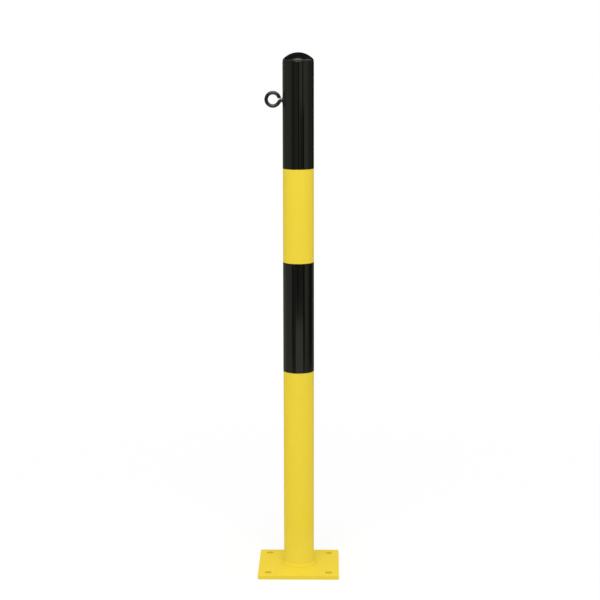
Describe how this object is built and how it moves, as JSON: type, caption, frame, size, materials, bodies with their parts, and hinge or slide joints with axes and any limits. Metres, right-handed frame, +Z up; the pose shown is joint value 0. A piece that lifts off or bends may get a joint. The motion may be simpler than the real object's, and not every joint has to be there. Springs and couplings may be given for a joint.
{
  "type": "barrier post",
  "caption": "Fixed steel barrier post with a square bolt-down plate, yellow and black bands, a domed cap and a side eye for a chain.",
  "frame": {"origin": "centre of the plate's underside, on the ground", "axes": "+Z up along the tube, -X towards the chain eye, the plate's sides along X and Y"},
  "size_m": [0.16, 0.16, 1.0266],
  "materials": {
    "yellow_coat": "satin powder coat, signal yellow",
    "black_film": "glossy black adhesive film",
    "black_cap": "smooth moulded black plastic",
    "black_steel": "glossy black coating on steel wire",
    "nut_steel": "black passivated steel"
  },
  "bodies": {
    "root": {"post_tube": "yellow_coat", "base_plate": "yellow_coat", "foot_weld": "yellow_coat", "end_cap": "black_cap", "upper_band": "black_film", "lower_band": "black_film", "chain_eye": "black_steel", "rivet_nut": "nut_steel"}
  },
  "joints": []
}
